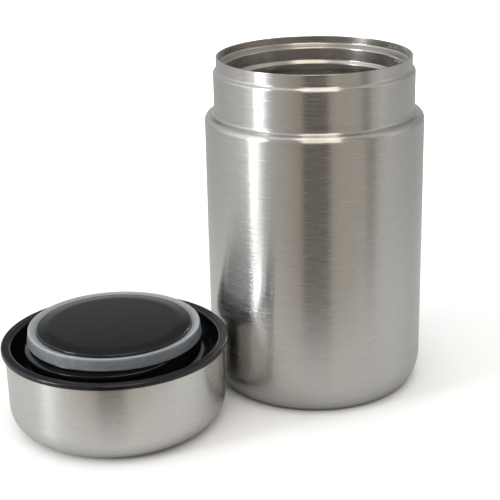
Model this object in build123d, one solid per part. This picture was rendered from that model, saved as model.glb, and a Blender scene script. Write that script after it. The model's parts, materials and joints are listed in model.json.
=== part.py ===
"""Insulated food jar: a double-walled steel vacuum jar standing open, with its screw lid
laid upside down beside it. Millimetres, +Z up; the origin is where the jar's axis meets
the surface that the jar and the lid both stand on.
"""

import os

from build123d import *

# ---- Jar, outer shell: its brushed steel face, from the foot up
body_radius = 47.5
jar_height = 148.2
shell_wall = 0.5
foot_width = 12.5
foot_corner_radius = 8.1
foot_fold_radius = 1.0
foot_flange_lap = 1.0
neck_height = 21.8
shoulder_width = 4.1
shoulder_fall = 1.0
shoulder_radius = 4.0
fold_radius = 0.6
lip_setback = 1.3
lip_height = 4.6
lip_step_rise = 0.9
lip_step_radius = 0.9
rim_round = 0.2

# ---- Jar, inner vessel: the food side, from the rim down
vessel_wall = 0.4
weld_gap = 0.03
ledge_depth = 3.2
ledge_rise = 1.9
ledge_width = 2.77
bead_depth = 10.4
bead_height = 1.2
bead_rise = 1.7
bead_land = 2.2
bead_pitch = 7.2
bead_count = 2
bead_fold_radius = 0.7
seat_inset = 0.8
seat_rise = 4.2
seat_land = 1.8
vacuum_gap = 4.6
cup_shoulder_rise = 7.0
cup_fold_radius = 3.0
cup_floor_gap = 4.5
cup_corner_radius = 9.0
cup_wall_rise = 3.0

# ---- Jar, inside the vacuum space and under the foot
base_recess = 1.0
base_wall = 0.5
base_rim_height = 2.4
base_fold_radius = 0.9
plate_gap = 0.1
plate_rim_drop = 1.5
dimple_radius = 5.0
dimple_rise = 1.2
dimple_slope = 1.5
pump_hole_radius = 1.0
seal_bead_gap = 1.8
foil_thickness = 0.1
foil_gap = 0.1
foil_setback = 2.0
getter_radius = 4.0
getter_thickness = 1.6
getter_offset = 18.0
clip_width = 3.0
clip_wall = 0.25
clip_foot = 3.0
clip_gap = 0.1
clip_fold_radius = 0.4

# ---- Lid: where it lies, crown down, and its steel shell
lid_bearing = 206.3
lid_apart = 1.2
lid_setback = 0.95
crown_draft = 0.3
crown_depth = 12.9
crown_corner_margin = 1.7
lid_wall = 0.5

# ---- Lid: the moulded liner with its rim, neck trough and plug
rim_overhang = 1.6
rim_drop = 1.6
rim_edge_round = 0.7
crest_round = 0.8
shell_seat_drop = 0.8
shell_seat_gap = 0.05
shell_fit_gap = 0.12
neck_clearance = 0.35
trough_clearance = 0.5
trough_round = 1.5
liner_wall = 1.8
plug_clearance = 0.6
plug_corner_round = 0.5
gasket_shelf_rise = 1.4
spigot_wall = 2.0

# ---- Lid: sealing ring, plug cap and foam core
gasket_band = 3.9
gasket_fit_gap = 0.1
seal_clearance = 0.1
gasket_height = 4.5
gasket_flare_height = 2.0
gasket_round = 0.5
cap_proud = 1.0
cap_fall = 0.8
cap_fall_width = 4.8
cap_dome_radius = 28.0
cap_thickness = 3.1
cap_edge_round = 0.9
cap_fit_gap = 0.05
cap_rib_wall = 1.5
cap_rib_depth = 2.4
core_gap = 0.3

# ---- Worked out: radii of the jar, from its body inwards
foot_inner_radius = body_radius - foot_width
neck_radius = body_radius - shoulder_width
lip_radius = neck_radius - lip_setback
lip_inner_radius = lip_radius - shell_wall - weld_gap - vessel_wall
throat_radius = lip_inner_radius - ledge_width
bead_radius = throat_radius - bead_height
seat_radius = bead_radius - seat_inset
cup_radius = body_radius - shell_wall - vacuum_gap - vessel_wall

# ---- Worked out: heights of the jar, from the table up
plate_rise = base_recess + base_rim_height + plate_gap + plate_rim_drop
foot_flange_height = plate_rise + foot_flange_lap
cup_floor_height = plate_rise + base_wall + cup_floor_gap
cup_seam_height = cup_floor_height + cup_corner_radius + cup_wall_rise
shoulder_height = jar_height - neck_height
seat_top = shoulder_height - gasket_shelf_rise
seat_bottom = seat_top - seat_rise - seat_land
cup_shoulder_height = seat_bottom - cup_shoulder_rise

# ---- Worked out: the lid's radii and heights, and its distance from the jar
lid_radius = body_radius - lid_setback
crown_edge_radius = lid_radius - crown_draft
crown_corner_radius = crown_depth - crown_corner_margin
rim_radius = lid_radius + rim_overhang
plug_radius = bead_radius - plug_clearance
cap_radius = plug_radius - gasket_band
trough_floor = crown_depth + liner_wall
lid_rim_height = trough_floor + trough_clearance + neck_height
gasket_shelf = lid_rim_height + gasket_shelf_rise
cap_top = gasket_shelf + gasket_height + cap_proud
lid_distance = body_radius + rim_radius + lid_apart


def sheet_section(points, radii, wall):
    """Closed section of a pressed sheet, its metal to the left of the drawn face."""
    face_points = [Vector(*point) for point in points]
    headings = [(b - a).normalized() for a, b in zip(face_points, face_points[1:])]
    lefts = [Vector(-h.Y, h.X) for h in headings]
    back_points = [face_points[0] + lefts[0] * wall]
    back_radii = []
    for index, radius in enumerate(radii):
        before = lefts[index]
        after = lefts[index + 1]
        mitre = (before + after) * (wall / (1 + before.dot(after)))
        back_points.append(face_points[index + 1] + mitre)
        left_turn = headings[index].cross(headings[index + 1]).Z > 0
        back_radii.append(radius - wall if left_turn else radius + wall)
    back_points.append(face_points[-1] + lefts[-1] * wall)
    with BuildSketch() as section:
        with BuildLine():
            front = FilletPolyline(*face_points, radius=radii)
            back = FilletPolyline(*back_points, radius=back_radii)
            Line(front @ 0, back @ 0)
            Line(front @ 1, back @ 1)
        make_face()
    return section.sketch


def solid_section(*corners):
    """Closed section of a moulded ring or disc, from (radius, height, rounding) corners."""
    with BuildSketch() as section:
        with BuildLine():
            points = [(radius, height) for radius, height, _ in corners]
            roundings = [rounding for _, _, rounding in corners]
            FilletPolyline(*points, radius=roundings, close=True)
        make_face()
    return section.sketch


def turned(section):
    """The section, drawn as radius and height, spun about the jar's axis."""
    return revolve(Plane.XZ * section, axis=Axis.Z)


def outer_shell():
    """Drawn steel tube: foot flange, rounded foot, body, shoulder, neck and rim lip."""
    step_height = jar_height - lip_height
    section = sheet_section(
        [
            (foot_inner_radius, foot_flange_height),
            (foot_inner_radius, 0),
            (body_radius, 0),
            (body_radius, shoulder_height - shoulder_fall),
            (neck_radius, shoulder_height),
            (neck_radius, step_height - lip_step_rise),
            (lip_radius, step_height),
            (lip_radius, jar_height),
        ],
        [
            foot_fold_radius,
            foot_corner_radius,
            shoulder_radius,
            fold_radius,
            lip_step_radius,
            lip_step_radius,
        ],
        shell_wall,
    )
    rim = section.vertices().group_by(Axis.Y)[-1].sort_by(Axis.X)[-1]
    return turned(fillet(rim, rim_round))


def inner_vessel():
    """Drawn steel food vessel: rim lip, two ledges, rolled beads, seal seat and cup wall."""
    ledge_top = jar_height - ledge_depth
    points = [
        (lip_inner_radius, jar_height),
        (lip_inner_radius, ledge_top),
        (throat_radius, ledge_top - ledge_rise),
    ]
    bead_top = jar_height - bead_depth
    for turn in range(bead_count):
        crest = bead_top - turn * bead_pitch - bead_rise
        points += [
            (throat_radius, crest + bead_rise),
            (bead_radius, crest),
        ]
        if turn < bead_count - 1:
            points += [
                (bead_radius, crest - bead_land),
                (throat_radius, crest - bead_land - bead_rise),
            ]
    points += [
        (bead_radius, seat_top),
        (seat_radius, seat_top - seat_rise),
        (seat_radius, seat_bottom),
        (cup_radius, cup_shoulder_height),
        (cup_radius, cup_seam_height),
    ]
    folds = [bead_fold_radius] * (len(points) - 4) + [cup_fold_radius] * 2
    section = sheet_section(points, folds, vessel_wall)
    rim = section.vertices().group_by(Axis.Y)[-1].sort_by(Axis.X)[0]
    return turned(fillet(rim, rim_round))


def inner_bottom():
    """Pressed dish that closes the vessel, butt-welded to the cup wall."""
    section = sheet_section(
        [(cup_radius, cup_seam_height), (cup_radius, cup_floor_height), (0, cup_floor_height)],
        [cup_corner_radius],
        vessel_wall,
    )
    return turned(section)


def vacuum_plate():
    """Pressed plate welded in the foot flange, dimpled round its pump-out hole."""
    rim_radius_inside = foot_inner_radius - weld_gap - base_wall
    section = sheet_section(
        [
            (pump_hole_radius, plate_rise + dimple_rise),
            (dimple_radius, plate_rise + dimple_rise),
            (dimple_radius + dimple_slope, plate_rise),
            (rim_radius_inside, plate_rise),
            (rim_radius_inside, plate_rise - plate_rim_drop),
        ],
        [base_fold_radius, base_fold_radius, base_fold_radius],
        base_wall,
    )
    return turned(section)


def seal_bead():
    """Solder bead that lies in the dimple and closes the pump-out hole."""
    seal_bead_radius = dimple_radius - seal_bead_gap
    section = solid_section(
        (0, plate_rise + dimple_rise, 0),
        (seal_bead_radius, plate_rise + dimple_rise, 0),
        (seal_bead_radius, plate_rise + dimple_rise / 2, 0),
        (0, plate_rise + dimple_rise / 2, 0),
    )
    return turned(section)


def base_cover():
    """Pressed cover set back in the foot flange under the vacuum plate."""
    cover_radius = foot_inner_radius - weld_gap
    section = sheet_section(
        [(0, base_recess), (cover_radius, base_recess), (cover_radius, base_recess + base_rim_height)],
        [base_fold_radius],
        base_wall,
    )
    return turned(section)


def radiation_foil():
    """Copper foil wrapped round the cup wall inside the vacuum space."""
    inside = cup_radius + vessel_wall + foil_gap
    outside = inside + foil_thickness
    foil_bottom = cup_seam_height + foil_setback
    foil_top = cup_shoulder_height - foil_setback
    section = solid_section(
        (inside, foil_bottom, 0), (outside, foil_bottom, 0), (outside, foil_top, 0), (inside, foil_top, 0)
    )
    return turned(section)


def getter():
    """Gas-absorbing pellet that lies on the vacuum plate."""
    plate_top = plate_rise + base_wall
    return Pos(getter_offset, 0, plate_top) * Cylinder(
        getter_radius, getter_thickness, align=(Align.CENTER, Align.CENTER, Align.MIN)
    )


def getter_clip():
    """Spring strip spot-welded to the vacuum plate over the pellet."""
    plate_top = plate_rise + base_wall
    half_span = getter_radius + clip_gap
    bridge_height = plate_top + getter_thickness
    points = [
        (getter_offset + half_span + clip_foot, plate_top + clip_wall),
        (getter_offset + half_span + clip_wall, plate_top + clip_wall),
        (getter_offset + half_span + clip_wall, bridge_height + clip_wall),
        (getter_offset - half_span - clip_wall, bridge_height + clip_wall),
        (getter_offset - half_span - clip_wall, plate_top + clip_wall),
        (getter_offset - half_span - clip_foot, plate_top + clip_wall),
    ]
    section = sheet_section(points, [clip_fold_radius] * (len(points) - 2), clip_wall)
    return extrude(Plane.XZ * section, clip_width / 2, both=True)


def lid_shell():
    """Drawn steel cup, crown down, its edge under the liner's rim."""
    shell_edge = lid_rim_height - shell_seat_drop - shell_seat_gap
    section = sheet_section(
        [(0, 0), (crown_edge_radius, 0), (lid_radius, shell_edge)], [crown_corner_radius], lid_wall
    )
    return turned(section)


def lid_liner():
    """Moulded liner: hooked rim, skirt, trough for the jar's neck, and hollow plug."""
    skirt_outer = crown_edge_radius - lid_wall - shell_fit_gap
    skirt_inner = neck_radius + neck_clearance
    spigot_radius = cap_radius
    spigot_top = cap_top - cap_thickness
    hook_inner = lid_radius + shell_fit_gap
    shell_edge = lid_rim_height - shell_seat_drop
    section = solid_section(
        (skirt_inner, lid_rim_height, crest_round),
        (rim_radius, lid_rim_height, rim_edge_round),
        (rim_radius, lid_rim_height - rim_drop, rim_edge_round / 2),
        (hook_inner, lid_rim_height - rim_drop, 0),
        (hook_inner, shell_edge, 0),
        (skirt_outer, shell_edge, 0),
        (skirt_outer, crown_depth, 0),
        (plug_radius - liner_wall, crown_depth, 0),
        (plug_radius - liner_wall, gasket_shelf - liner_wall, 0),
        (spigot_radius - spigot_wall, gasket_shelf - liner_wall, 0),
        (spigot_radius - spigot_wall, spigot_top, 0),
        (spigot_radius, spigot_top, 0),
        (spigot_radius, gasket_shelf, 0),
        (plug_radius, gasket_shelf, plug_corner_round),
        (plug_radius, trough_floor, trough_round),
        (skirt_inner, trough_floor, trough_round),
    )
    return turned(section)


def plug_cap():
    """Glossy disc that closes the plug, its top falling off towards the edge."""
    underside = cap_top - cap_thickness
    rib_outer = cap_radius - spigot_wall - cap_fit_gap
    section = solid_section(
        (0, cap_top, 0),
        (0, underside, 0),
        (rib_outer - cap_rib_wall, underside, 0),
        (rib_outer - cap_rib_wall, underside - cap_rib_depth, 0),
        (rib_outer, underside - cap_rib_depth, 0),
        (rib_outer, underside, 0),
        (cap_radius, underside, 0),
        (cap_radius, cap_top - cap_fall, cap_edge_round),
        (cap_radius - cap_fall_width, cap_top, cap_dome_radius),
    )
    return turned(section)


def lid_gasket():
    """Silicone ring round the plug's end, its lip flared towards the shelf it sits on."""
    top = gasket_shelf + gasket_height
    bore = cap_radius + gasket_fit_gap
    section = solid_section(
        (bore, gasket_shelf, 0),
        (bead_radius - seal_clearance, gasket_shelf, 0),
        (seat_radius - seal_clearance, gasket_shelf + gasket_flare_height, gasket_round),
        (seat_radius - seal_clearance, top, gasket_round),
        (bore, top, 0),
    )
    return turned(section)


def lid_core():
    """Foam core that fills the crown and the hollow plug, clear of the pieces round it."""
    base_radius = crown_edge_radius - lid_wall - core_gap
    puck_radius = cap_radius - spigot_wall - cap_fit_gap - cap_rib_wall - core_gap
    stem_radius = plug_radius - liner_wall - core_gap
    stem_top = gasket_shelf - liner_wall - core_gap
    corner_round = crown_corner_radius - lid_wall - core_gap
    section = solid_section(
        (0, lid_wall + core_gap, 0),
        (base_radius, lid_wall + core_gap, corner_round),
        (base_radius, crown_depth - core_gap, 0),
        (stem_radius, crown_depth - core_gap, 0),
        (stem_radius, stem_top, 0),
        (puck_radius, stem_top, 0),
        (puck_radius, cap_top - cap_thickness - core_gap, 0),
        (0, cap_top - cap_thickness - core_gap, 0),
    )
    return turned(section)


os.makedirs("parts", exist_ok=True)

jar_pieces = [
    outer_shell,
    inner_vessel,
    inner_bottom,
    vacuum_plate,
    seal_bead,
    base_cover,
    radiation_foil,
    getter,
    getter_clip,
]
lid_pieces = [lid_shell, lid_liner, plug_cap, lid_gasket, lid_core]

for make_piece in jar_pieces:
    export_step(make_piece(), f"parts/{make_piece.__name__}.step")

lid_place = Pos(Vector(lid_distance, 0, 0).rotate(Axis.Z, lid_bearing))
for make_piece in lid_pieces:
    export_step(lid_place * make_piece(), f"parts/{make_piece.__name__}.step")
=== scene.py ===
"""Insulated food jar standing open, with its screw lid laid upside down beside it.
Metres, +Z up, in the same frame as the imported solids.
"""

import json
from math import atan2, ceil, pi, radians, sin, tan

import bmesh
import bpy
from mathutils import Matrix, Vector


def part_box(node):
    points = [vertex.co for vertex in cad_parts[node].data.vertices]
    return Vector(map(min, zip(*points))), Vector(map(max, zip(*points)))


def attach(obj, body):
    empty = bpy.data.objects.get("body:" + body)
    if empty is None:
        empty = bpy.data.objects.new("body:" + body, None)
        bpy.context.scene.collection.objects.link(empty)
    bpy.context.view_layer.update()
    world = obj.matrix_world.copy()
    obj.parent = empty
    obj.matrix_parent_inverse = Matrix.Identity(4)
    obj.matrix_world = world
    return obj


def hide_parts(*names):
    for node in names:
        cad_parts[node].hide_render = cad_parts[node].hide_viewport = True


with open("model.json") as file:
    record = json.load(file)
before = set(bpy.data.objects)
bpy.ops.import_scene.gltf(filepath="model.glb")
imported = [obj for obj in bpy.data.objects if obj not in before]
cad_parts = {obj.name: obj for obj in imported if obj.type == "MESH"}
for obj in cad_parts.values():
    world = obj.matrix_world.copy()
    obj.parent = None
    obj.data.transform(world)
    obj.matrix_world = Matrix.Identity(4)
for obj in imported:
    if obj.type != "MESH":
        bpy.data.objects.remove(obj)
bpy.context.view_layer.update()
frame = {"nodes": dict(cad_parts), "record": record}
mounts = {mount["name"]: mount for mount in frame["record"]["mounts"]}


# ---- Outer shell of the jar
# One drawn tube of stainless steel: a rolled-under foot, a straight body, a rounded
# shoulder, a neck and a stepped lip. It is welded to the vessel at the rim, and its
# outer face is brushed round the jar.

body_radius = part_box("outer_shell")[1].x
jar_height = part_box("outer_shell")[1].z
neck_radius = mounts["neck"]["dims"]["r_mm"] / 1000
shell_wall = 0.0005
seam_gap = 0.00003
foot_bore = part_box("base_cover")[1].x + seam_gap
foot_flange_height = 0.006
foot_inset = 0.0044
foot_rise = 0.008
foot_turn_radius = 0.0055
foot_blend_radius = 0.018
foot_fold_radius = 0.001
neck_height = 0.0241
shoulder_fall = 0.0009
shoulder_radius = 0.0029
neck_fold_radius = 0.0011
lip_setback = 0.0013
lip_height = 0.0052
lip_step_rise = 0.0011
lip_step_radius = 0.0012
rim_round = 0.00015


def outline(corners, closed=False):
    """Wire of a turned piece from (radius, height, rounding) corners, its corners rounded."""
    facet_turn = radians(7)
    wire = bmesh.new()
    points = [wire.verts.new((radius, 0, height)) for radius, height, _ in corners]
    for start, end in zip(points, points[1:] + points[:closed]):
        wire.edges.new((start, end))
    places = [point.co.copy() for point in points]
    for index, (_, _, rounding) in enumerate(corners):
        if not rounding:
            continue
        arriving = places[index] - places[index - 1]
        leaving = places[(index + 1) % len(places)] - places[index]
        turn = arriving.angle(leaving)
        bmesh.ops.bevel(
            wire,
            geom=[points[index]],
            offset=rounding * tan(turn / 2),
            offset_type="OFFSET",
            segments=max(2, ceil(turn / facet_turn)),
            profile=0.5,
            affect="VERTICES",
            material=-1,
        )
    return wire


def measure_travel(wire):
    """Stores on each vertex of an open wire how far along the sheet it lies."""
    travel = wire.verts.layers.float.new("travel")
    ends = [vert for vert in wire.verts if len(vert.link_edges) == 1]
    vert = max(ends, key=lambda end: end.co.z)
    onward = vert.link_edges[0]
    while onward:
        ahead = onward.other_vert(vert)
        ahead[travel] = vert[travel] + onward.calc_length()
        rest = [edge for edge in ahead.link_edges if edge is not onward]
        vert = ahead
        onward = rest[0] if rest else None


def turned(wire, steps=256, merge_distance=1e-6):
    """Spins the wire about the upright axis at the origin, and closes its seam and poles."""
    bmesh.ops.spin(
        wire,
        geom=wire.verts[:] + wire.edges[:],
        cent=(0, 0, 0),
        axis=(0, 0, 1),
        dvec=(0, 0, 0),
        angle=2 * pi,
        steps=steps,
        use_merge=True,
        use_duplicate=False,
        use_normal_flip=False,
    )
    bmesh.ops.remove_doubles(wire, verts=wire.verts[:], dist=merge_distance)
    bmesh.ops.recalc_face_normals(wire, faces=wire.faces[:])


def pressed_sheet(corners, wall, face_inwards=False):
    """Turned sheet of metal. The corners give its visible face, and the wall lies behind."""
    sheet = outline(corners)
    measure_travel(sheet)
    turned(sheet)
    if face_inwards:
        bmesh.ops.reverse_faces(sheet, faces=sheet.faces[:])
    bmesh.ops.solidify(sheet, geom=sheet.faces[:], thickness=wall)
    return sheet


def soften_rim(sheet, height, rounding):
    """Rounds both edges of a sheet that ends in a flat rim at that height."""
    slack = 1e-6
    corner_angle = radians(60)
    rim = [
        edge
        for edge in sheet.edges
        if all(abs(vert.co.z - height) < slack for vert in edge.verts)
        and edge.calc_face_angle(0) > corner_angle
    ]
    bmesh.ops.bevel(
        sheet,
        geom=rim,
        offset=rounding,
        offset_type="OFFSET",
        segments=3,
        profile=0.5,
        affect="EDGES",
        material=-1,
    )


def make_piece(name, shape, place, material, slot, body, *nodes):
    """Turns the bmesh into a smooth-shaded object that stands for those CAD nodes."""
    crease_angle = radians(30)
    bmesh.ops.translate(shape, verts=shape.verts[:], vec=place)
    for face in shape.faces:
        face.smooth = True
    for edge in shape.edges:
        edge.smooth = edge.calc_face_angle(0) < crease_angle
    mesh = bpy.data.meshes.new(name)
    shape.to_mesh(mesh)
    shape.free()
    mesh.materials.append(material)
    piece = bpy.data.objects.new(name, mesh)
    bpy.context.scene.collection.objects.link(piece)
    shading = piece.modifiers.new("Even shading", "WEIGHTED_NORMAL")
    shading.keep_sharp = True
    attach(piece, body)
    if nodes:
        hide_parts(*nodes)


def new_material(name):
    """An empty node material and its Principled shader."""
    material = bpy.data.materials.new(name)
    material.use_nodes = True
    return material, material.node_tree.nodes["Principled BSDF"]


def find_socket(sockets, key):
    """A socket by its number, or by its name among those that the node's settings leave in use."""
    if isinstance(key, int):
        return sockets[key]
    return next(socket for socket in sockets if socket.enabled and socket.name == key)


def fill_inputs(material, node, inputs):
    """Links each named input of the node to a socket, or sets it to a plain value."""
    for key, value in inputs.items():
        if isinstance(value, bpy.types.NodeSocket):
            material.node_tree.links.new(value, find_socket(node.inputs, key))
        else:
            find_socket(node.inputs, key).default_value = value


def add_node(material, kind, inputs=None, output=None, **settings):
    """Adds a node with those settings and inputs, and gives its first or its named output."""
    node = material.node_tree.nodes.new("ShaderNode" + kind)
    for setting, value in settings.items():
        setattr(node, setting, value)
    fill_inputs(material, node, inputs or {})
    if output:
        return find_socket(node.outputs, output)
    return next(socket for socket in node.outputs if socket.enabled)


def map_range(material, value, start, end):
    """Stretches a value from one (low, high) range to another, and clamps it there."""
    return add_node(
        material,
        "MapRange",
        {
            "Value": value,
            "From Min": start[0],
            "From Max": start[1],
            "To Min": end[0],
            "To Max": end[1],
        },
    )


def mix_colours(material, value, low, high):
    """Colour between two colours or colour sockets, as the value goes from 0 to 1."""
    ends = [end if isinstance(end, bpy.types.NodeSocket) else (*end, 1) for end in (low, high)]
    inputs = {"Factor": value, "A": ends[0], "B": ends[1]}
    return add_node(material, "Mix", inputs, data_type="RGBA")


# Nearly all values of a noise texture lie in this range.
noise_range = (0.3, 0.7)
quarter_turn = 0.25


def brushed_steel(name, axis, colours, roughness, stretch, jitter, streak, fine_streak):
    """Stainless steel brushed round an upright axis.

    The colours and the roughness are (low, high) pairs that the streaks run between. A
    streak is (length round the piece, width across it), and jitter tilts each one. The
    stretch, from 0 to 1, is how far the brushing draws a highlight out up the piece.
    """
    material, shader = new_material(name)
    place = add_node(material, "TexCoord", output="Object")
    centred = add_node(material, "Mapping", {"Vector": place, "Location": -axis})
    outwards = add_node(material, "VectorMath", {0: centred, 1: (1, 1, 0)}, operation="MULTIPLY")
    around = add_node(
        material, "VectorMath", {0: (0, 0, 1), 1: outwards}, operation="CROSS_PRODUCT"
    )
    around = add_node(
        material,
        "VectorTransform",
        {"Vector": around},
        vector_type="VECTOR",
        convert_from="OBJECT",
        convert_to="WORLD",
    )
    around = add_node(material, "VectorMath", {0: around}, operation="NORMALIZE")
    travel = add_node(material, "Attribute", output="Fac", attribute_name="travel")
    grain = []
    for length, width in (streak, fine_streak):
        across = add_node(material, "Math", {0: travel, 1: 1 / width}, operation="MULTIPLY")
        across = add_node(material, "CombineXYZ", {"Z": across})
        along = add_node(
            material,
            "VectorMath",
            {0: outwards, 1: (1 / length, 1 / length, 0), 2: across},
            operation="MULTIPLY_ADD",
        )
        grain.append(add_node(material, "TexNoise", {"Vector": along, "Scale": 1, "Detail": 3}))
    mixed = add_node(material, "Math", {0: grain[0], 1: grain[1]}, operation="ADD")
    mixed_range = tuple(2 * end for end in noise_range)
    level = map_range(material, mixed, mixed_range, (0, 1))
    tilt = map_range(material, mixed, mixed_range, (-jitter, jitter))
    lean = add_node(material, "VectorMath", {0: around, "Scale": tilt}, operation="SCALE")
    normal = add_node(material, "NewGeometry", output="Normal")
    normal = add_node(material, "VectorMath", {0: normal, 1: lean}, operation="ADD")
    normal = add_node(material, "VectorMath", {0: normal}, operation="NORMALIZE")
    fill_inputs(
        material,
        shader,
        {
            "Base Color": mix_colours(material, level, *colours),
            "Metallic": 1,
            "Roughness": map_range(material, grain[1], noise_range, roughness),
            "Normal": normal,
            "Tangent": around,
            "Anisotropic": stretch,
            "Anisotropic Rotation": quarter_turn,
        },
    )
    return material


step_height = jar_height - lip_height
shoulder_height = jar_height - neck_height
lip_radius = neck_radius - lip_setback
outer_shell = pressed_sheet(
    [
        (foot_bore, foot_flange_height, 0),
        (foot_bore, 0, foot_fold_radius),
        (body_radius - foot_inset, 0, foot_turn_radius),
        (body_radius, foot_rise, foot_blend_radius),
        (body_radius, shoulder_height - shoulder_fall, shoulder_radius),
        (neck_radius, shoulder_height, neck_fold_radius),
        (neck_radius, step_height - lip_step_rise, lip_step_radius),
        (lip_radius, step_height, lip_step_radius),
        (lip_radius, jar_height, 0),
    ],
    shell_wall,
)
soften_rim(outer_shell, jar_height, rim_round)
jar_axis = Vector((0, 0, 0))
outer_steel = brushed_steel(
    "Brushed steel of the jar",
    jar_axis,
    colours=((0.62, 0.61, 0.59), (0.68, 0.67, 0.65)),
    roughness=(0.18, 0.28),
    stretch=0.95,
    jitter=0.003,
    streak=(0.012, 0.0010),
    fine_streak=(0.008, 0.0004),
)
make_piece("shell_sheet", outer_shell, jar_axis, outer_steel, "brushed_steel", "jar", "outer_shell")


# ---- Inner vessel
# The food side of the neck and wall: a second drawn steel tube, welded to the shell at
# the rim. Below a small ledge, two rolled beads hold the lid's thread, and the tapered
# seat under them meets the sealing ring.

vessel_wall = 0.0004
throat_radius = mounts["mouth"]["dims"]["r_mm"] / 1000
vessel_lip_radius = lip_radius - shell_wall - seam_gap - vessel_wall
cup_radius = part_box("inner_bottom")[1].x - vessel_wall
cup_seam_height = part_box("inner_bottom")[1].z
ledge_depth = 0.0033
ledge_rise = 0.0015
ledge_fold_radius = 0.0008
bead_depth = 0.0104
bead_pitch = 0.0072
bead_height = 0.0012
bead_rise = 0.0013
bead_land = 0.0022
bead_fold_radius = 0.0007
seat_depth = 0.0232
seat_inset = 0.0008
seat_rise = 0.0042
seat_land = 0.0018
cup_shoulder_rise = 0.007
cup_fold_radius = 0.003

ledge_height = jar_height - ledge_depth
first_bead = jar_height - bead_depth
second_bead = first_bead - bead_pitch
bead_radius = throat_radius - bead_height
seat_radius = bead_radius - seat_inset
seat_top = jar_height - seat_depth
seat_bottom = seat_top - seat_rise - seat_land
inner_vessel = pressed_sheet(
    [
        (vessel_lip_radius, jar_height, 0),
        (vessel_lip_radius, ledge_height, ledge_fold_radius),
        (throat_radius, ledge_height - ledge_rise, ledge_fold_radius),
        (throat_radius, first_bead, bead_fold_radius),
        (bead_radius, first_bead - bead_rise, bead_fold_radius),
        (bead_radius, first_bead - bead_rise - bead_land, bead_fold_radius),
        (throat_radius, first_bead - 2 * bead_rise - bead_land, bead_fold_radius),
        (throat_radius, second_bead, bead_fold_radius),
        (bead_radius, second_bead - bead_rise, bead_fold_radius),
        (bead_radius, seat_top, bead_fold_radius),
        (seat_radius, seat_top - seat_rise, bead_fold_radius),
        (seat_radius, seat_bottom, bead_fold_radius),
        (cup_radius, seat_bottom - cup_shoulder_rise, cup_fold_radius),
        (cup_radius, cup_seam_height, 0),
    ],
    vessel_wall,
    face_inwards=True,
)
soften_rim(inner_vessel, jar_height, rim_round)
inner_steel = brushed_steel(
    "Satin steel of the vessel",
    jar_axis,
    colours=((0.56, 0.54, 0.51), (0.61, 0.59, 0.56)),
    roughness=(0.23, 0.26),
    stretch=0.6,
    jitter=0.002,
    streak=(0.02, 0.0008),
    fine_streak=(0.008, 0.0003),
)
make_piece(
    "vessel_sheet", inner_vessel, jar_axis, inner_steel, "vessel_steel", "jar", "inner_vessel"
)


# ---- Inner bottom
# A pressed steel dish that closes the vessel, butt-welded to its wall. It has the same
# satin finish as the rest of the food side.

cup_floor_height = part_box("inner_bottom")[0].z + vessel_wall
cup_corner_radius = 0.009
inner_bottom = pressed_sheet(
    [
        (cup_radius, cup_seam_height, 0),
        (cup_radius, cup_floor_height, cup_corner_radius),
        (0, cup_floor_height, 0),
    ],
    vessel_wall,
    face_inwards=True,
)
make_piece(
    "vessel_dish", inner_bottom, jar_axis, inner_steel, "vessel_steel", "jar", "inner_bottom"
)


# ---- Base cover
# A shallow cap pressed from steel sheet and pushed a little way up inside the foot,
# where it hides the pump-out plate. It is brushed like the shell.

cover_radius = foot_bore - seam_gap
cover_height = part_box("base_cover")[0].z
cover_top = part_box("base_cover")[1].z
cover_wall = 0.0005
cover_fold_radius = 0.0009
base_cover = pressed_sheet(
    [
        (cover_radius, cover_top, 0),
        (cover_radius, cover_height, cover_fold_radius),
        (0, cover_height, 0),
    ],
    cover_wall,
)
make_piece("foot_cover", base_cover, jar_axis, outer_steel, "hidden_steel", "jar", "base_cover")


# ---- Pieces in the vacuum space
# A pressed steel plate closes the foot flange, and a drop of solder glass closes its
# pump-out hole. A spring strip holds the getter's pellet on it, and copper foil wraps the
# vessel. All are sealed in, and keep the forms of their solids.


def mottled(name, colours, roughness, metallic, grain, bump_height):
    """Plain finish with cloudy grains of one size, in colour, roughness and relief."""
    material, shader = new_material(name)
    place = add_node(material, "TexCoord", output="Object")
    cloud = add_node(material, "TexNoise", {"Vector": place, "Scale": 1 / grain, "Detail": 4})
    level = map_range(material, cloud, noise_range, (0, 1))
    fill_inputs(
        material,
        shader,
        {
            "Base Color": mix_colours(material, level, *colours),
            "Metallic": metallic,
            "Roughness": map_range(material, cloud, noise_range, roughness),
            "Normal": add_node(material, "Bump", {"Height": cloud, "Distance": bump_height}),
        },
    )
    return material, shader


def dress(node, material):
    """Gives a CAD node that stays in view its own material."""
    mesh = frame["nodes"][node].data
    mesh.materials.clear()
    mesh.materials.append(material)


mill_steel, _ = mottled(
    "Mill finish steel",
    colours=((0.50, 0.50, 0.49), (0.60, 0.60, 0.59)),
    roughness=(0.30, 0.42),
    metallic=1,
    grain=0.004,
    bump_height=2e-6,
)
solder_glass, _ = mottled(
    "Solder glass",
    colours=((0.22, 0.22, 0.25), (0.34, 0.34, 0.38)),
    roughness=(0.10, 0.18),
    metallic=0,
    grain=0.0015,
    bump_height=1e-5,
)
copper_foil, _ = mottled(
    "Copper foil",
    colours=((0.74, 0.40, 0.26), (0.86, 0.52, 0.36)),
    roughness=(0.20, 0.34),
    metallic=1,
    grain=0.006,
    bump_height=2e-5,
)
getter_metal, _ = mottled(
    "Pressed getter powder",
    colours=((0.16, 0.16, 0.17), (0.27, 0.27, 0.28)),
    roughness=(0.70, 0.85),
    metallic=0,
    grain=0.0006,
    bump_height=2e-5,
)
dress("vacuum_plate", mill_steel)
dress("getter_clip", mill_steel)
dress("seal_bead", solder_glass)
dress("radiation_foil", copper_foil)
dress("getter", getter_metal)


# ---- Lid shell
# A drawn steel cup that the lid lies on here, crown down. It is brushed like the jar,
# and its edge is tucked under the liner's rim. Its steel is painted lighter than the
# jar's, as painted light that brightens its reflections.

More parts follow.
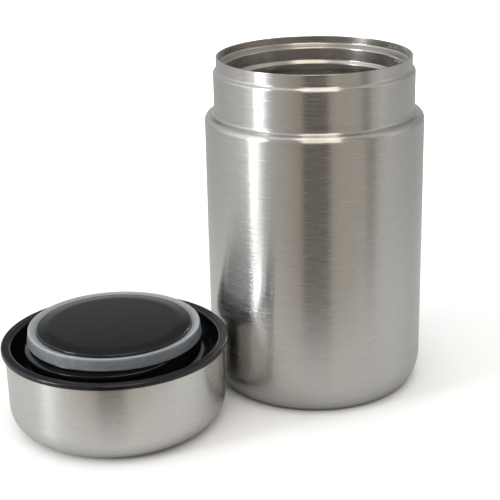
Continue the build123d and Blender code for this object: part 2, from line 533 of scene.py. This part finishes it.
shell_low, shell_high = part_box("lid_shell")
lid_axis = Vector(((shell_low.x + shell_high.x) / 2, (shell_low.y + shell_high.y) / 2, 0))
lid_radius = (shell_high.x - shell_low.x) / 2
lid_edge_height = shell_high.z
crown_draft = 0.0003
crown_corner_radius = 0.0112
lid_wall = 0.0005
lid_shell = pressed_sheet(
    [
        (0, 0, 0),
        (lid_radius - crown_draft, 0, crown_corner_radius),
        (lid_radius, lid_edge_height, 0),
    ],
    lid_wall,
)
# Painted light: these colours are lighter than the jar's same steel, to brighten the lid's
# reflections.
lid_steel_painted_lighter = brushed_steel(
    "Brushed steel of the lid, painted lighter",
    lid_axis,
    colours=((0.72, 0.71, 0.69), (0.78, 0.77, 0.75)),
    roughness=(0.22, 0.28),
    stretch=0.85,
    jitter=0.008,
    streak=(0.012, 0.0010),
    fine_streak=(0.008, 0.0004),
)
make_piece("crown_sheet", lid_shell, lid_axis, lid_steel_painted_lighter, "brushed_steel", "lid", "lid_shell")


# ---- Lid liner
# One moulding of black plastic: the hooked rim over the shell's edge, the trough that the
# jar's neck enters, and the hollow plug, whose spigot carries the ring and the cap.

liner_low, liner_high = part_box("lid_liner")
rim_radius = (liner_high.x - liner_low.x) / 2
rim_seat_drop = 0.001
rim_seat_gap = 0.00005
rim_height = lid_edge_height + rim_seat_gap + rim_seat_drop
rim_drop = 0.002
rim_edge_round = 0.0007
hook_edge_round = rim_edge_round / 3
crest_round = 0.0015
shell_fit_gap = 0.00012
neck_clearance = 0.00035
crown_depth = liner_low.z
liner_wall = 0.0018
trough_round = 0.0015
plug_clearance = 0.0006
plug_round = 0.0005
spigot_radius = (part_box("plug_cap")[1].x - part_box("plug_cap")[0].x) / 2
spigot_wall = 0.002
spigot_top = liner_high.z
gasket_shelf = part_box("lid_gasket")[0].z


def moulding(corners):
    """Turned solid from the corners of its closed section."""
    solid = outline(corners, closed=True)
    turned(solid)
    return solid


def gloss_plastic(name, colour, roughness, coat, ripple_height):
    """Black moulded plastic, with the faint ripple of its mould and a thin polish."""
    ripple_width = 0.0025
    lift = 1.5
    material, shader = mottled(
        name,
        colours=(colour, tuple(lift * part for part in colour)),
        roughness=roughness,
        metallic=0,
        grain=ripple_width,
        bump_height=ripple_height,
    )
    polish = {"IOR": 1.5, "Coat Weight": coat, "Coat Roughness": 0.05}
    fill_inputs(material, shader, polish)
    return material


skirt_inner = neck_radius + neck_clearance
skirt_outer = lid_radius - crown_draft - lid_wall - shell_fit_gap
hook_inner = lid_radius + shell_fit_gap
hook_height = rim_height - rim_seat_drop
plug_radius = bead_radius - plug_clearance
plug_bore = plug_radius - liner_wall
trough_floor = crown_depth + liner_wall
shelf_underside = gasket_shelf - liner_wall
lid_liner = moulding(
    [
        (skirt_inner, rim_height, crest_round),
        (rim_radius, rim_height, rim_edge_round),
        (rim_radius, rim_height - rim_drop, hook_edge_round),
        (hook_inner, rim_height - rim_drop, 0),
        (hook_inner, hook_height, 0),
        (skirt_outer, hook_height, 0),
        (skirt_outer, crown_depth, 0),
        (plug_bore, crown_depth, 0),
        (plug_bore, shelf_underside, 0),
        (spigot_radius - spigot_wall, shelf_underside, 0),
        (spigot_radius - spigot_wall, spigot_top, 0),
        (spigot_radius, spigot_top, 0),
        (spigot_radius, gasket_shelf, 0),
        (plug_radius, gasket_shelf, plug_round),
        (plug_radius, trough_floor, trough_round),
        (skirt_inner, trough_floor, trough_round),
    ]
)
liner_black = gloss_plastic(
    "Black liner plastic",
    colour=(0.005, 0.005, 0.006),
    roughness=(0.12, 0.18),
    coat=0.12,
    ripple_height=6e-7,
)
make_piece("liner_moulding", lid_liner, lid_axis, liner_black, "black_liner", "lid", "lid_liner")


# ---- Plug thread
# The screw thread, moulded in one with the liner. It winds up the side of the plug and runs
# out into it at both ends, and it catches under the beads of the jar's neck.

thread_clearance = 0.0002
thread_bite = 0.0003
thread_crest = throat_radius - thread_clearance
thread_root = plug_radius - thread_bite
thread_crest_half = 0.0007
thread_root_half = 0.0014
thread_round = 0.0003
thread_start = 0.0266
thread_turns = 1.4
thread_runout = 0.06
thread_least = 0.05
thread_steps = 336
thread_bearing = radians(171)
plug_thread = outline(
    [
        (thread_root, thread_start - thread_root_half, 0),
        (thread_crest, thread_start - thread_crest_half, thread_round),
        (thread_crest, thread_start + thread_crest_half, thread_round),
        (thread_root, thread_start + thread_root_half, 0),
    ],
    closed=True,
)
bmesh.ops.spin(
    plug_thread,
    geom=plug_thread.verts[:] + plug_thread.edges[:],
    axis=(0, 0, 1),
    dvec=(0, 0, bead_pitch * thread_turns / thread_steps),
    angle=2 * pi * thread_turns,
    steps=thread_steps,
)
for vert in plug_thread.verts:
    part_turn = atan2(vert.co.y, vert.co.x) / (2 * pi)
    whole_turns = round((vert.co.z - thread_start) / bead_pitch - part_turn)
    turns = part_turn + whole_turns
    swell = min(1, turns / thread_runout, (thread_turns - turns) / thread_runout)
    radius = vert.co.xy.length
    rise = (radius - thread_root) * max(thread_least, swell)
    vert.co.xy *= (thread_root + rise) / radius
ends = [edge for edge in plug_thread.edges if len(edge.link_faces) == 1]
bmesh.ops.holes_fill(plug_thread, edges=ends)
bmesh.ops.rotate(
    plug_thread, verts=plug_thread.verts[:], matrix=Matrix.Rotation(thread_bearing, 3, "Z")
)
bmesh.ops.recalc_face_normals(plug_thread, faces=plug_thread.faces[:])
make_piece("plug_thread", plug_thread, lid_axis, liner_black, "black_liner", "lid")


# ---- Plug cap
# A glossy black plastic disc snapped into the end of the plug. Its top is flat and falls
# off to a rounded edge, about level with the crest of the sealing ring.

cap_low, cap_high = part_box("plug_cap")
cap_radius = spigot_radius
cap_top = cap_high.z
cap_fall = 0.0005
cap_fall_width = 0.0048
cap_dome_radius = 0.028
cap_edge_round = 0.0004
cap_fit_gap = 0.00005
cap_rib_wall = 0.0015
rib_outer = cap_radius - spigot_wall - cap_fit_gap
plug_cap = moulding(
    [
        (0, cap_top, 0),
        (0, spigot_top, 0),
        (rib_outer - cap_rib_wall, spigot_top, 0),
        (rib_outer - cap_rib_wall, cap_low.z, 0),
        (rib_outer, cap_low.z, 0),
        (rib_outer, spigot_top, 0),
        (cap_radius, spigot_top, 0),
        (cap_radius, cap_top - cap_fall, cap_edge_round),
        (cap_radius - cap_fall_width, cap_top, cap_dome_radius),
    ]
)
cap_black = gloss_plastic(
    "Black cap plastic",
    colour=(0.005, 0.005, 0.006),
    roughness=(0.06, 0.10),
    coat=0.5,
    ripple_height=1e-6,
)
make_piece("cap_disc", plug_cap, lid_axis, cap_black, "black_cap", "lid", "plug_cap")


# ---- Sealing ring
# A ring of milky translucent silicone, stretched round the plug's spigot. Its flank
# flares down to the shelf that it sits on, and its top dips towards the cap. Towards its
# crest its colour is painted lighter: partly painted light from above, partly the thin
# edge, which has less of the black plug behind it.

gasket_low, gasket_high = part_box("lid_gasket")
gasket_radius = (gasket_high.x - gasket_low.x) / 2
gasket_fit_gap = 0.0001
gasket_bore = cap_radius + gasket_fit_gap
seal_clearance = 0.0001
gasket_crest_radius = seat_radius - seal_clearance
gasket_round = 0.0005
gasket_dish = 0.0012
gasket_crest_rise = 0.0006
gasket_top = gasket_high.z + gasket_crest_rise
lid_gasket = moulding(
    [
        (gasket_bore, gasket_low.z, 0),
        (gasket_radius, gasket_low.z, gasket_round / 2),
        (gasket_crest_radius, gasket_top, gasket_round),
        (gasket_bore, gasket_top - gasket_dish, 0),
    ]
)
silicone, silicone_shader = mottled(
    "Milky silicone",
    colours=((0.14, 0.157, 0.174), (0.185, 0.202, 0.22)),
    roughness=(0.30, 0.42),
    metallic=0,
    grain=0.003,
    bump_height=1e-5,
)
# Painted light: the band under the crest is painted lighter, for light from above and for the thin
# edge with less black plug behind it.
painted_crest_light = (0.30, 0.33, 0.35)
painted_light_depth = (0.0014, 0.0002)
crest = tuple(gasket_top - depth for depth in painted_light_depth)
height = add_node(silicone, "TexCoord", output="Object")
height = add_node(silicone, "SeparateXYZ", {"Vector": height}, output="Z")
painted_light_share = map_range(silicone, height, crest, (0, 1))
body_colour = silicone_shader.inputs["Base Color"].links[0].from_socket
fill_inputs(
    silicone,
    silicone_shader,
    {
        "Base Color": mix_colours(silicone, painted_light_share, body_colour, painted_crest_light),
        "Subsurface Weight": 0.5,
        "Subsurface Radius": (0.0012, 0.0014, 0.0016),
        "Subsurface Scale": 1,
        "IOR": 1.41,
        "Coat Weight": 0.5,
        "Coat Roughness": 0.3,
    },
)
make_piece("seal_ring", lid_gasket, lid_axis, silicone, "silicone", "gasket", "lid_gasket")


# ---- Lid core
# Rigid foam poured into the lid, which fills the crown and the plug. The shell and the
# liner close it in, and it keeps the form of its solid.

foam, _ = mottled(
    "Insulating foam",
    colours=((0.74, 0.73, 0.68), (0.86, 0.85, 0.81)),
    roughness=(0.85, 0.95),
    metallic=0,
    grain=0.0012,
    bump_height=1e-4,
)
dress("lid_core", foam)


# ---- Floor
# Matt white paper under the jar. Away from the jar it glows, so that it runs into the
# white background. The steel mirrors it only as far as an edge in front of the jar, and
# sees the room beyond that edge. What the steel mirrors and what light bounces off the
# paper is painted darker further from the jar: painted shade, where less light falls.

paper_radius = 4
paper_edge = (-0.15, -0.115)
# Painted shade: the paper that the steel mirrors, and the light it bounces, darken from the near
# tone to the far tone with distance from the jar.
near_tone = (0.51, 0.51, 0.50)
far_painted_shade_tone = (0.39, 0.39, 0.38)
painted_shade_reach = (0.12, 0.35)
seen_white = (0.92, 0.92, 0.92)
glow_reach = (0.2, 0.5)
floor_shape = bmesh.new()
bmesh.ops.create_circle(floor_shape, cap_ends=True, segments=96, radius=paper_radius)
floor_mesh = bpy.data.meshes.new("floor")
floor_shape.to_mesh(floor_mesh)
floor_shape.free()
floor = bpy.data.objects.new("floor", floor_mesh)
bpy.context.scene.collection.objects.link(floor)
paper, paper_shader = new_material("White paper")
seen = add_node(paper, "LightPath", output="Is Camera Ray")
mirrored = seen.node.outputs["Is Glossy Ray"]
place = add_node(paper, "TexCoord", output="Object")
reach = add_node(paper, "VectorMath", {0: place}, operation="LENGTH")
forward = add_node(paper, "SeparateXYZ", {"Vector": place}, output="Y")
past_edge = map_range(paper, forward, paper_edge, (1, 0))
beyond = add_node(paper, "Math", {0: mirrored, 1: past_edge}, operation="MULTIPLY")
# Painted shade: darker with distance from the jar, in mirrors and in bounced light.
tone = mix_colours(paper, map_range(paper, reach, painted_shade_reach, (0, 1)), near_tone, far_painted_shade_tone)
away = map_range(paper, reach, glow_reach, (0, 1))
glow = add_node(paper, "Math", {0: seen, 1: away}, operation="MULTIPLY")
fill_inputs(
    paper,
    paper_shader,
    {
        "Base Color": mix_colours(paper, seen, tone, seen_white),
        "Roughness": 0.9,
        "Specular IOR Level": 0,
        "Emission Color": (1, 1, 1, 1),
        "Emission Strength": glow,
    },
)
cut = add_node(
    paper,
    "MixShader",
    {"Fac": beyond, 1: paper_shader.outputs[0], 2: add_node(paper, "BsdfTransparent")},
)
paper.node_tree.links.new(cut, paper.node_tree.nodes["Material Output"].inputs["Surface"])
floor_mesh.materials.append(paper)


# ---- Studio
# Daylight softboxes stand at the left, a narrow one that the steel mirrors and a wide one
# that it doesn't, and tungsten ones hang in front and overhead. The steel mirrors a pale
# room, with a dark doorway behind the camera and a dark gap over the backdrop.


def softbox(name, low_end, high_end, width, radiance, colour, mirrored=True):
    """A rectangular light between the middles of its two ends, which shines on the jar."""
    low_end = Vector(low_end)
    high_end = Vector(high_end)
    lamp = bpy.data.lights.new(name, "AREA")
    lamp.shape = "RECTANGLE"
    lamp.size = width
    lamp.size_y = (high_end - low_end).length
    lamp.energy = radiance * pi * lamp.size * lamp.size_y
    lamp.color = colour
    stand = bpy.data.objects.new(name, lamp)
    stand.visible_glossy = mirrored
    bpy.context.scene.collection.objects.link(stand)
    middle = (low_end + high_end) / 2
    upwards = (high_end - low_end).normalized()
    sideways = upwards.cross(middle).normalized()
    facing = Matrix((sideways, upwards, sideways.cross(upwards))).transposed()
    stand.matrix_world = Matrix.Translation(middle) @ facing.to_4x4()


daylight = (0.98, 0.99, 1)
tungsten = (1, 0.93, 0.84)
softbox(
    "left_softbox",
    low_end=(-1.385, -0.56, 0.02),
    high_end=(-1.24, -0.83, 0.80),
    width=0.20,
    radiance=17,
    colour=daylight,
)
softbox(
    "far_softbox",
    low_end=(-1.42, -0.49, 0.45),
    high_end=(-1.42, -0.49, 1.05),
    width=0.6,
    radiance=5,
    colour=daylight,
    mirrored=False,
)
softbox(
    "front_softbox",
    low_end=(0.07, -0.73, 0.50),
    high_end=(0.07, -0.55, 1.00),
    width=0.55,
    radiance=1.5,
    colour=tungsten,
)
softbox(
    "overhead_softbox",
    low_end=(0.05, -0.42, 1.15),
    high_end=(0.05, 0.22, 1.33),
    width=0.55,
    radiance=1.5,
    colour=tungsten,
)

# The room's walls: colours at bearings in degrees, where 0 is behind the camera and 90 is
# at its right.
room = (
    (-180, (0.50, 0.50, 0.50)),
    (-125, (0.57, 0.58, 0.59)),
    (-104, (0.84, 0.86, 0.87)),
    (-82, (1.16, 1.18, 1.20)),
    (-56, (0.54, 0.54, 0.54)),
    (-38, (0.46, 0.43, 0.39)),
    (-17, (0.34, 0.295, 0.25)),
    (-12, (0.125, 0.11, 0.095)),
    (11, (0.125, 0.11, 0.095)),
    (17, (0.34, 0.31, 0.26)),
    (26, (0.41, 0.37, 0.31)),
    (50, (0.43, 0.40, 0.35)),
    (56, (0.27, 0.26, 0.24)),
    (61, (0.27, 0.26, 0.24)),
    (66, (0.43, 0.41, 0.37)),
    (88, (0.70, 0.685, 0.65)),
    (122, (0.37, 0.37, 0.35)),
    (150, (0.36, 0.36, 0.35)),
    (180, (0.50, 0.50, 0.50)),
)
backdrop_side = (radians(150), radians(165))
backdrop_top = (sin(radians(14)), sin(radians(25)))
backdrop_gap = 0.8
ceiling_edge = (sin(radians(35)), sin(radians(48)))
ceiling_gap = 0.2
ceiling_rise = (0.3, 1)
horizon_fill = (0.15, 0.15, 0.15)
zenith_fill = (1.7, 1.7, 1.7)
world = bpy.data.worlds.new("studio")
bpy.context.scene.world = world
world.use_nodes = True
heading = add_node(world, "TexCoord", output="Generated")
heading = add_node(world, "SeparateXYZ", {"Vector": heading}).node.outputs
front = add_node(world, "Math", {0: heading["Y"], 1: -1}, operation="MULTIPLY")
bearing = add_node(world, "Math", {0: heading["X"], 1: front}, operation="ARCTAN2")
walls = add_node(world, "ValToRGB", {"Fac": map_range(world, bearing, (-pi, pi), (0, 1))})
stops = walls.node.color_ramp.elements
while len(stops) < len(room):
    stops.new(0.5)
for stop, (angle, colour) in zip(stops, room):
    stop.position = 0.5 + angle / 360
    stop.color = (*colour, 1)
over_backdrop = map_range(world, heading["Z"], backdrop_top, (0, backdrop_gap))
under_ceiling = map_range(world, heading["Z"], ceiling_edge, (1, ceiling_gap))
side = add_node(world, "Math", {0: bearing}, operation="ABSOLUTE")
at_backdrop = map_range(world, side, backdrop_side, (0, 1))
gap = add_node(world, "Math", {0: over_backdrop, 1: under_ceiling}, operation="MULTIPLY")
gap = add_node(world, "Math", {0: gap, 1: at_backdrop}, operation="MULTIPLY")
walls = mix_colours(world, gap, walls, (0, 0, 0))
ray = add_node(world, "LightPath").node.outputs
high = map_range(world, heading["Z"], ceiling_rise, (0, 1))
fill = mix_colours(world, high, horizon_fill, zenith_fill)
colour = mix_colours(world, ray["Is Glossy Ray"], fill, walls)
colour = mix_colours(world, ray["Is Camera Ray"], colour, (1, 1, 1))
fill_inputs(world, world.node_tree.nodes["Background"], {"Color": colour, "Strength": 1})


# ---- Camera
# It stands in front of the jar, a little to the left of it, and looks down on it through
# a long lens, with a slight roll.

camera_place = (-0.02066, -0.53963, 0.25695)
camera_bearing = radians(0.90)
camera_tilt = radians(69.92)
camera_roll = radians(-1.29)
camera_data = bpy.data.cameras.new("camera")
camera_data.sensor_width = 36
camera_data.lens = 91.75
camera = bpy.data.objects.new("camera", camera_data)
bpy.context.scene.collection.objects.link(camera)
bpy.context.scene.camera = camera
camera.matrix_world = (
    Matrix.Translation(camera_place)
    @ Matrix.Rotation(camera_bearing, 4, "Z")
    @ Matrix.Rotation(camera_tilt, 4, "X")
    @ Matrix.Rotation(camera_roll, 4, "Z")
)
bpy.context.scene.view_settings.view_transform = "Standard"
